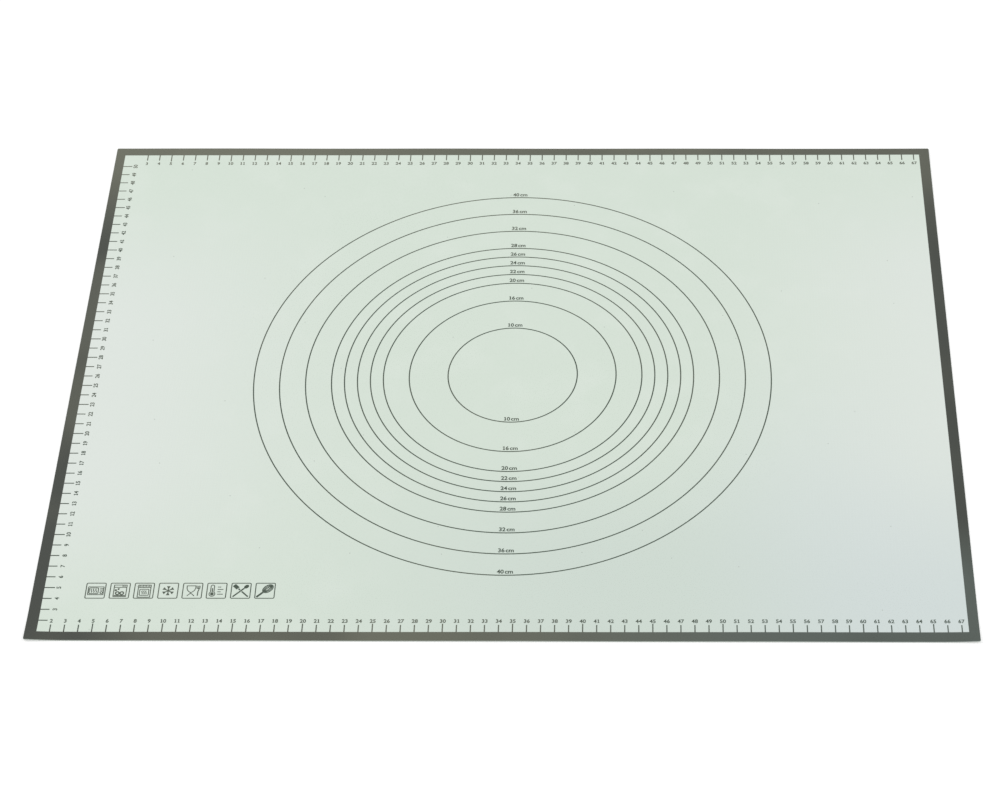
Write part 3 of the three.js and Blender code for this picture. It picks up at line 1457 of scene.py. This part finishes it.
@dataclass(frozen=True)
class PhotoCamera:
    """The photograph's viewpoint: in front of the mat, looking down on it with a long lens."""

    azimuth: float = math.radians(0.82)
    elevation: float = math.radians(47.23)
    roll: float = math.radians(-0.53)
    distance: float = 2.1022
    target: tuple[float, float, float] = (0.0755, -0.0262, 0)
    lens: float = 98.6
    sensor: float = 36
    # The photograph is a crop, so the view's axis doesn't go through its middle
    shift_x: float = -0.11

    def build(self) -> None:
        """Makes the scene's camera."""
        right = Vector((math.cos(self.azimuth), math.sin(self.azimuth), 0))
        level = Vector((right.y, -right.x, 0)) * math.cos(self.elevation)
        back = level + Vector((0, 0, math.sin(self.elevation)))
        upright = Matrix((right, back.cross(right), back)).transposed()
        turned = upright @ Matrix.Rotation(self.roll, 3, "Z")
        data = bpy.data.cameras.new("photo_camera")
        data.lens = self.lens
        data.sensor_width = self.sensor
        data.shift_x = self.shift_x
        camera = add_object(data)
        place = Vector(self.target) + back * self.distance
        camera.matrix_world = Matrix.Translation(place) @ turned.to_4x4()
        bpy.context.scene.camera = camera


@dataclass(frozen=True)
class SoftBox:
    """A soft studio lamp that is aimed at the middle of the mat."""

    name: str
    place: tuple[float, float, float]
    size: tuple[float, float]
    # Share of the plain light level that it gives at the middle of the mat
    share: float

    def build(self) -> None:
        """Makes the lamp."""
        place = Vector(self.place)
        data = bpy.data.lights.new(self.name, "AREA")
        data.shape = "RECTANGLE"
        data.size, data.size_y = self.size
        # An area lamp of P watts at a distance d lights what faces it with P / (pi d^2)
        data.energy = self.share * math.pi**2 * place.length**3 / place.z
        aim = place.to_track_quat("Z", "Y").to_matrix().to_4x4()
        add_object(data).matrix_world = Matrix.Translation(place) @ aim


@dataclass(frozen=True)
class Studio:
    """A white table under plain soft light. The lamps and the sky add up to a level of 1 on the mat."""

    lamps: tuple[SoftBox, ...] = (
        SoftBox("left_softbox", place=(-2.4, 0.8, 2.6), size=(1.6, 2.2), share=0.2),
        SoftBox("right_softbox", place=(2.5, -0.4, 2.5), size=(1.6, 2.2), share=0.16),
    )
    sky_level: float = 0.64
    floor_size: float = 2.4
    floor_corner: float = 0.6
    # The table lies this much under the mat, so that no two faces share a plane
    floor_drop: float = 0.1 * MM
    floor_white: float = 0.8
    floor_glow: float = 0.3

    def build(self) -> Object:
        """Makes the lamps, the sky and the floor.

        Returns:
            The floor.
        """
        bpy.context.scene.view_settings.view_transform = "Standard"
        for lamp in self.lamps:
            lamp.build()
        self.sky()
        return self.floor()

    @staticmethod
    def seen(shading: Shading) -> NodeSocket:
        """Tells the rays that show a background: straight, mirrored or through glass.

        Args:
            shading: What adds the nodes.

        Returns:
            The socket that gives 1 for these rays, and otherwise 0.
        """
        total = shading.add("LightPath", output="Is Camera Ray")
        rays = total.node.outputs
        for kind in ("Is Glossy Ray", "Is Transmission Ray"):
            total = shading.add("Math", {0: total, 1: rays[kind]}, operation="MAXIMUM")
        return total

    def sky(self) -> None:
        """Makes the world: white where it is seen, and the sky's share of the light."""
        world = bpy.data.worlds.new("studio_sky")
        bpy.context.scene.world = world
        world.use_nodes = True
        shading = Shading(world.node_tree)
        level = {"Value": self.seen(shading), "To Min": self.sky_level, "To Max": 1.0}
        background = world.node_tree.nodes["Background"]
        background.inputs["Color"].default_value = (1, 1, 1, 1)
        world.node_tree.links.new(shading.add("MapRange", level), background.inputs["Strength"])

    def floor(self) -> Object:
        """Makes the table top.

        Returns:
            The floor.
        """
        place = Vector((0, 0, -self.floor_drop))
        bm = bmesh.new()
        add_panel(bm, place, self.floor_size, self.floor_size, self.floor_corner)
        mesh = finish_mesh("table_top", bm)
        mesh.materials.append(self.table_white())
        floor = add_object(mesh)
        return floor

    def table_white(self) -> Material:
        """White paint that glows a little, keeps the mat's shadow and is clear from below.

        Returns:
            The finished material.
        """
        material = bpy.data.materials.new("white_table")
        material.use_nodes = True
        tree = material.node_tree
        tree.nodes.remove(tree.nodes["Principled BSDF"])
        shading = Shading(tree)
        white = (self.floor_white, self.floor_white, self.floor_white, 1)
        lit = shading.add("BsdfDiffuse", {"Color": white})
        glow = shading.add("Emission", {"Color": (1, 1, 1, 1), "Strength": self.floor_glow})
        top = shading.add("AddShader", {0: lit, 1: glow})
        behind = shading.add("NewGeometry", output="Backfacing")
        from_above = {0: self.seen(shading), 1: behind}
        shown = shading.add("Math", from_above, operation="SUBTRACT", use_clamp=True)
        clear = shading.add("BsdfTransparent")
        surface = shading.add("MixShader", {0: shown, 1: clear, 2: top})
        tree.links.new(surface, tree.nodes["Material Output"].inputs["Surface"])
        return material


# Whole mat


def print_all(press: Press, circles: Sequence[CirclePrint]) -> None:
    """Prints everything on the mat.

    Args:
        press: The press.
        circles: The rolling circles.
    """
    border = BorderPrint()
    press.print("border_print", border.build(), BORDER_AND_RULERS, on_edge=border.is_outside)
    type_face = TypeFace()
    for circle in circles:
        press.print(f"circle_print_{circle.number}", circle.line(), circle.node)
        press.print(f"circle_labels_{circle.number}", circle.labels(type_face))
    for ruler in RULERS:
        press.print(f"{ruler.side.name.lower()}_numerals", ruler.numerals(type_face))
    for symbol in Symbol:
        sign = SymbolPrint(symbol)
        press.print(f"frame_print_{symbol.value}", sign.frame(), sign.node)
        press.print(f"pictogram_{symbol.name.lower()}", sign.pictogram())
    type_face.discard()


def main() -> None:
    """Builds the studio, the sheet and the print, and reports each piece."""
    logging.basicConfig(level=logging.INFO, format="%(name)s: %(message)s")
    circle_count = sum(name.startswith(CIRCLE_LINE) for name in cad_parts)
    circles = [CirclePrint(number) for number in range(1, circle_count + 1)]

    PhotoCamera().build()
    floor = Studio().build()
    lay = Lay()
    sheet = Laminate(lay)
    underside = UndersideSilicone(circle_radii=tuple(circle.radius for circle in circles))
    sheet.build(WorkFaceSilicone().material(), GlassCloth().material(), underside.material())
    ink_low, ink_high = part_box(BORDER_AND_RULERS)
    press = Press(lay, SiliconeInk().material(), film=ink_high.z - ink_low.z)
    print_all(press, circles)
    for piece in (*sheet.pieces.values(), *press.pieces):
        LOG.info("%s: %d faces", piece.name, len(piece.data.polygons))


if __name__ == "__main__":
    main()
